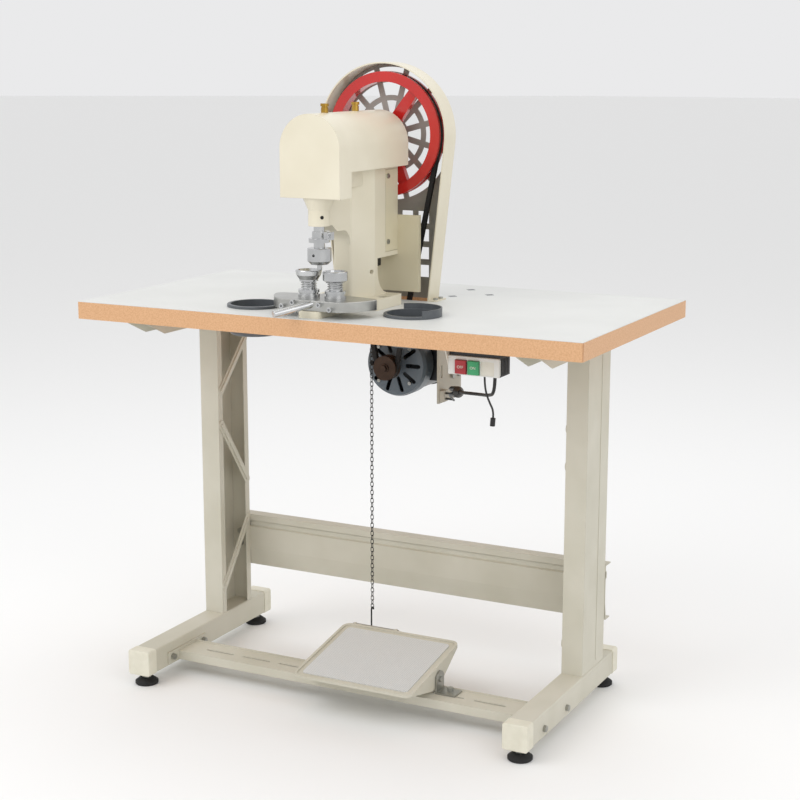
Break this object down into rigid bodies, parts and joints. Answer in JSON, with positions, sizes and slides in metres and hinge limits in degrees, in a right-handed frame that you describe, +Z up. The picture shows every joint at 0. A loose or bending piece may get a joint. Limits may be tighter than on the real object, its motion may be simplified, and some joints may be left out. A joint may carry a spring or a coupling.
{
  "type": "button press",
  "caption": "Electric snap-button press on a sewing-type table stand, with flywheel, belt guard, motor, swinging die carrier and foot pedal.",
  "frame": {"origin": "floor under the centre of the whole outline", "axes": "+Z up, +X to the operator's right, -Y towards the operator"},
  "size_m": [1.013, 0.5805, 1.1914],
  "materials": {
    "cream_paint": "semi-gloss enamel",
    "panel_paint": "semi-gloss enamel",
    "grille_paint": "semi-gloss enamel",
    "stand_paint": "powder coat",
    "board": "smooth edge band",
    "laminate": "satin laminate",
    "dark_plastic": "matte",
    "cap_plastic": "matte",
    "foot_rubber": "matte",
    "belt_rubber": "matte",
    "mat": "finely ribbed",
    "zinc": "zinc plate",
    "bright_steel": "polished",
    "satin_steel": "ground",
    "dark_steel": "black oxide",
    "brass": "plain",
    "red_paint": "gloss enamel",
    "pulley_iron": "machined",
    "bell_paint": "hammered enamel",
    "motor_paint": "satin enamel",
    "bracket_paint": "satin enamel",
    "box_plastic": "matte",
    "plate_white": "satin",
    "off_red": "gloss",
    "on_green": "gloss",
    "lead_sheath": "satin"
  },
  "bodies": {
    "stand": {"table_top": "board", "table_laminate": "laminate", "edge_banding": "board", "table_inserts": "dark_plastic", "left_leg": "stand_paint", "right_leg": "stand_paint", "leg_braces": "stand_paint", "top_arms": "stand_paint", "foot_beams": "stand_paint", "end_caps": "cap_plastic", "foot_pads": "foot_rubber", "foot_studs": "zinc", "rear_stretcher": "stand_paint", "stand_bolts": "zinc", "pedal_bar": "stand_paint", "pedal_brackets": "zinc", "machine_frame": "cream_paint", "column_panels": "panel_paint", "head_cover": "cream_paint", "oilers": "brass", "belt_shield": "panel_paint", "pivot_bolt": "dark_steel", "belt_guard": "cream_paint", "guard_grille": "grille_paint", "trip_bracket": "dark_steel", "press_screws": "zinc", "motor_bell": "bell_paint", "motor_body": "motor_paint", "motor_bracket": "bracket_paint", "switch_box": "box_plastic", "switch_plates": "plate_white", "motor_lead_1": "lead_sheath", "motor_lead_2": "lead_sheath", "lead_plugs": "lead_sheath", "box_lead": "lead_sheath", "pigtail": "lead_sheath", "v_belt": "belt_rubber"},
    "flywheel": {"flywheel": "red_paint"},
    "motor_shaft": {"motor_pulley": "pulley_iron"},
    "crank": {"crankshaft": "bright_steel"},
    "ram": {"ram": "bright_steel", "ram_collar": "dark_steel", "upper_die": "bright_steel"},
    "carrier": {"die_carrier": "satin_steel", "carrier_handle": "bright_steel", "carrier_screws": "bright_steel", "lower_die_bases": "bright_steel", "left_die_spring": "bright_steel", "right_die_spring": "bright_steel"},
    "left_sleeve": {"left_die_sleeve": "bright_steel"},
    "right_sleeve": {"right_die_sleeve": "bright_steel"},
    "pedal": {"pedal_plate": "stand_paint", "pedal_mat": "mat", "pedal_pins": "zinc"},
    "chain": {"pull_chain": "zinc"},
    "trip": {"trip_lever": "dark_steel"},
    "off_button": {"off_button": "off_red"},
    "on_button": {"on_button": "on_green"},
    "left_bin": {"left_bin": "dark_plastic"},
    "right_bin": {"right_bin": "dark_plastic"}
  },
  "joints": [
    {"name": "flywheel_spin", "type": "hinge", "parent": "stand", "child": "flywheel", "pos_m": [-0.0165, 0.0685, 1.0585], "axis": [0, 1, 0], "continuous": true},
    {"name": "motor_spin", "type": "hinge", "parent": "stand", "child": "motor_shaft", "pos_m": [-0.0165, 0.0685, 0.612], "axis": [0, 1, 0], "continuous": true},
    {"name": "crank_turn", "type": "hinge", "parent": "stand", "child": "crank", "pos_m": [-0.0165, -0.05, 1.0585], "axis": [0, 1, 0], "range_deg": [0, 180]},
    {"name": "ram_slide", "type": "slide", "parent": "stand", "child": "ram", "axis": [0, 0, -1], "range_m": [0, 0.01]},
    {"name": "carrier_swing", "type": "hinge", "parent": "stand", "child": "carrier", "pos_m": [-0.0165, -0.1385, 0.772], "axis": [0, 0, 1], "range_deg": [-33, 33]},
    {"name": "left_sleeve_press", "type": "slide", "parent": "carrier", "child": "left_sleeve", "axis": [0, 0, -1], "range_m": [0, 0.005], "stiffness_N_per_m": 600, "springref_m": -0.006, "deforming": ["left_die_spring"]},
    {"name": "right_sleeve_press", "type": "slide", "parent": "carrier", "child": "right_sleeve", "axis": [0, 0, -1], "range_m": [0, 0.005], "stiffness_N_per_m": 600, "springref_m": -0.006, "deforming": ["right_die_spring"]},
    {"name": "pedal_press", "type": "hinge", "parent": "stand", "child": "pedal", "pos_m": [0.0585, -0.1075, 0.071], "axis": [-1, 0, 0], "range_deg": [0, 8], "stiffness_Nm_per_rad": 20, "springref_deg": -14.32},
    {"name": "chain_pull", "type": "hinge", "parent": "stand", "child": "chain", "pos_m": [-0.0165, 1.2785, 0.4686], "axis": [1, 0, 0], "range_deg": [0, 0.66]},
    {"name": "trip_pull", "type": "hinge", "parent": "stand", "child": "trip", "pos_m": [-0.0165, -0.0365, 0.829], "axis": [-1, 0, 0], "range_deg": [0, 20.9]},
    {"name": "off_push", "type": "slide", "parent": "stand", "child": "off_button", "axis": [0, 1, 0], "range_m": [0, 0.003], "stiffness_N_per_m": 300, "springref_m": -0.002},
    {"name": "on_push", "type": "slide", "parent": "stand", "child": "on_button", "axis": [0, 1, 0], "range_m": [0, 0.003], "stiffness_N_per_m": 300, "springref_m": -0.002},
    {"name": "left_bin_lift", "type": "slide", "parent": "stand", "child": "left_bin", "axis": [0, 0, 1], "range_m": [0, 0.095]},
    {"name": "right_bin_lift", "type": "slide", "parent": "stand", "child": "right_bin", "axis": [0, 0, 1], "range_m": [0, 0.095]}
  ],
  "couplings": [
    {"joint": "motor_spin", "follows": "flywheel_spin", "ratio": 5.6939},
    {"joint": "ram_slide", "follows": "crank_turn", "m_per_rad": 0.0031831},
    {"joint": "chain_pull", "follows": "pedal_press", "ratio": 0.08243},
    {"joint": "trip_pull", "follows": "pedal_press", "ratio": 2.6}
  ]
}
